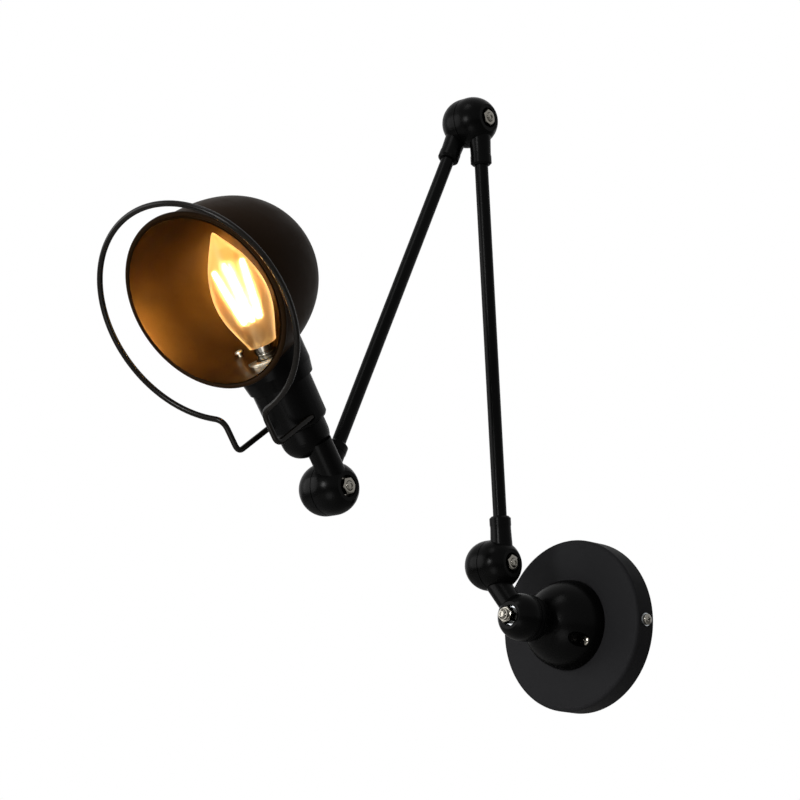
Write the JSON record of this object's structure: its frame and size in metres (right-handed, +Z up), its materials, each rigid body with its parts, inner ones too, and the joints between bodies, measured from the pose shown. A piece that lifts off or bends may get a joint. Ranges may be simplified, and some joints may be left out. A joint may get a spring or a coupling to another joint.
{
  "type": "articulated wall lamp",
  "caption": "Swing-arm wall lamp: round wall plate with a swivel hub, two tube arms on ball knuckles, bowl shade with a wire guard and a candle bulb.",
  "frame": {"origin": "centre of the wall plate on the wall plane, midway between the two wall screws", "axes": "+Z up, +Y into the wall, the lamp stands out along -Y, +X to the right as seen from the room"},
  "size_m": [0.1575, 0.4037, 0.4288],
  "materials": {
    "black_cast": "matt powder coat",
    "black_sheet": "satin powder coat",
    "shade_paint": "matt outside, warm inside",
    "zinc_steel": "zinc plated",
    "bright_steel": "bright plated",
    "brass": "plain",
    "friction": "matt",
    "cable_sheath": "matt",
    "porcelain": "glazed",
    "block_plastic": "moulded",
    "clear_glass": "clear",
    "filament": "lit phosphor"
  },
  "bodies": {
    "base": {"wall_bracket": "zinc_steel", "wall_plate": "black_sheet", "side_screws": "zinc_steel", "side_washers": "zinc_steel", "dome": "black_cast", "dome_screws": "zinc_steel", "dome_nuts": "zinc_steel", "terminal_block": "block_plastic", "terminal_screws": "brass", "earth_screw": "brass", "hub_bolt": "bright_steel", "hub_washer": "zinc_steel", "hub_nut": "bright_steel", "hub_disc": "friction"},
    "link": {"link": "black_cast"},
    "lower_arm": {"lower_knuckle": "black_cast", "lower_elbow": "black_cast", "lower_tube": "black_sheet", "lower_collars": "black_sheet", "lower_cable": "cable_sheath", "arm_bolts": "bright_steel", "arm_washers": "zinc_steel", "arm_nuts": "bright_steel", "arm_discs": "friction"},
    "upper_arm": {"upper_elbow": "black_cast", "upper_wrist": "black_cast", "upper_tube": "black_sheet", "upper_collars": "black_sheet", "upper_cable": "cable_sheath"},
    "head": {"head_knuckle": "black_cast", "head_bolt": "bright_steel", "head_washers": "zinc_steel", "head_nut": "bright_steel", "head_disc": "friction", "nipple": "brass", "nipple_nut": "brass", "socket_housing": "black_sheet", "shade_collar": "black_sheet", "shade": "shade_paint", "shade_screws": "zinc_steel", "lampholder": "porcelain", "lampholder_ring": "bright_steel", "bulb_cap": "bright_steel", "bulb_glass": "clear_glass", "bulb_stem": "clear_glass", "filaments": "filament", "wire_guard": "black_sheet"}
  },
  "joints": [
    {"name": "hub_swivel", "type": "hinge", "parent": "base", "child": "link", "pos_m": [0, -0.06577, 0], "axis": [0, 1, 0], "range_deg": [-150, 150]},
    {"name": "lower_elbow", "type": "hinge", "parent": "link", "child": "lower_arm", "pos_m": [-0.0225, -0.07207, 0.0375], "axis": [1, 0, 0], "range_deg": [-13, 90]},
    {"name": "upper_elbow", "type": "hinge", "parent": "lower_arm", "child": "upper_arm", "pos_m": [-0.0225, -0.09952, 0.3513], "axis": [1, 0, 0], "range_deg": [-135, 8]},
    {"name": "head_tilt", "type": "hinge", "parent": "upper_arm", "child": "head", "pos_m": [-0.0225, -0.23513, 0.06699], "axis": [1, 0, 0], "range_deg": [-25, 110]}
  ]
}
